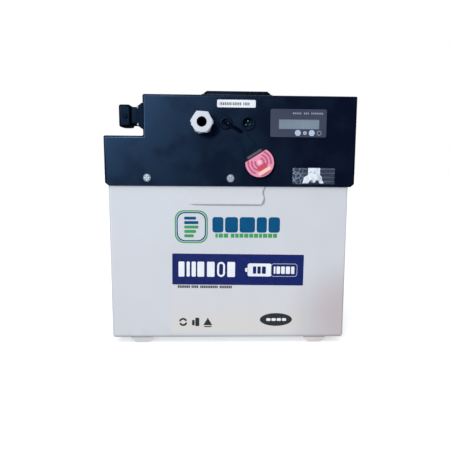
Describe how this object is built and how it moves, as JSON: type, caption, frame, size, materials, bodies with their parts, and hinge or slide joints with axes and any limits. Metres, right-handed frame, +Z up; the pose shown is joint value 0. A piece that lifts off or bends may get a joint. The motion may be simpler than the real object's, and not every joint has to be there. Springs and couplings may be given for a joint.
{
  "type": "deep cycle battery",
  "caption": "Boxed deep cycle battery: white steel tray, dark notched cover with meter, cable gland, sockets, stick-on antenna, capped side connector and folding handle.",
  "frame": {"origin": "on the floor, under the middle of the bounding box", "axes": "+Z up, the front with its fittings faces -Y, +X to the right as seen from the front"},
  "size_m": [0.311, 0.1832, 0.3261],
  "materials": {
    "tray_paint": "satin white powder coat",
    "cover_paint": "satin blue-black powder coat",
    "skid_plastic": "moulded, matt",
    "zinc_steel": "bright zinc plated",
    "brass": "machined",
    "copper_bar": "stamped copper, counted as brass",
    "aluminium": "extruded",
    "cell_wrap": "aluminium can in blue film",
    "fibre_board": "glass fibre sheet",
    "circuit_board": "solder mask",
    "foam": "closed-cell foam",
    "black_rubber": "matt rubber",
    "seal_rubber": "dark red rubber",
    "red_cable": "silicone jacket",
    "black_cable": "silicone jacket",
    "lead_jacket": "glossy PVC jacket",
    "black_plastic": "moulded, fine texture",
    "bezel_plastic": "moulded, grey-violet",
    "gland_plastic": "light grey nylon",
    "button_plastic": "pale blue, glossy",
    "display_glass": "grey-blue liquid crystal display",
    "pink_label": "printed label film",
    "strap_steel": "lacquered steel strap",
    "chrome_rod": "chrome plated",
    "plated_pin": "gold-flashed",
    "harness_wire": "thin wires in sleeving"
  },
  "bodies": {
    "case": {"tray": "tray_paint", "skid_left": "skid_plastic", "skid_right": "skid_plastic", "skid_rivets": "zinc_steel", "cover": "cover_paint", "rim_gasket": "foam", "cover_screws": "zinc_steel", "rivet_nuts": "zinc_steel", "cell_1": "cell_wrap", "cell_2": "cell_wrap", "cell_3": "cell_wrap", "cell_4": "cell_wrap", "cell_5": "cell_wrap", "cell_6": "cell_wrap", "cell_7": "cell_wrap", "cell_8": "cell_wrap", "cell_sheets": "fibre_board", "end_plates": "fibre_board", "strap_bands": "strap_steel", "floor_pad": "foam", "side_pads": "foam", "busbars": "copper_bar", "terminal_nuts": "zinc_steel", "cover_board": "fibre_board", "bms_board": "circuit_board", "bms_heatsink": "aluminium", "bms_standoffs": "brass", "fuse_block": "black_plastic", "cable_positive": "red_cable", "cable_negative": "black_cable", "balance_harness": "harness_wire", "meter_bezel": "bezel_plastic", "meter_housing": "black_plastic", "meter_display": "display_glass", "meter_board": "circuit_board", "gland_washer": "black_rubber", "gland_body": "gland_plastic", "gland_seal": "seal_rubber", "gland_locknut": "gland_plastic", "socket_shell": "black_plastic", "socket_insert": "black_plastic", "socket_pins": "plated_pin", "socket_nut": "zinc_steel", "grommet": "black_rubber", "antenna_pad": "foam", "antenna_case": "black_plastic", "antenna_face": "pink_label", "antenna_lead": "lead_jacket", "connector_housing": "black_plastic", "connector_contacts": "plated_pin", "connector_screws": "zinc_steel", "handle_brackets": "zinc_steel", "handle_rivets": "zinc_steel"},
    "gland_nut": {"gland_nut": "gland_plastic"},
    "button_left": {"button_left": "button_plastic"},
    "button_right": {"button_right": "button_plastic"},
    "dust_cap": {"dust_cap": "black_plastic"},
    "cap_button": {"cap_button": "black_plastic"},
    "handle": {"handle_bail": "chrome_rod", "handle_grip": "black_rubber"}
  },
  "joints": [
    {"name": "handle_fold", "type": "hinge", "parent": "case", "child": "handle", "pos_m": [0.0092, 0.0349, 0.3202], "axis": [-1, 0, 0], "range_deg": [0, 90]},
    {"name": "gland_nut_turn", "type": "hinge", "parent": "case", "child": "gland_nut", "pos_m": [-0.0347, -0.0816, 0.2805], "axis": [0, -1, 0], "range_deg": [0, 330]},
    {"name": "button_left_press", "type": "slide", "parent": "case", "child": "button_left", "axis": [0, 1, 0], "range_m": [0, 0.001], "stiffness_N_per_m": 1500},
    {"name": "button_right_press", "type": "slide", "parent": "case", "child": "button_right", "axis": [0, 1, 0], "range_m": [0, 0.001], "stiffness_N_per_m": 1500},
    {"name": "cap_pull", "type": "slide", "parent": "case", "child": "dust_cap", "axis": [-1, 0, 0], "range_m": [0, 0.022]},
    {"name": "cap_button_press", "type": "slide", "parent": "dust_cap", "child": "cap_button", "axis": [0, 1, 0], "range_m": [0, 0.001], "stiffness_N_per_m": 1500}
  ]
}
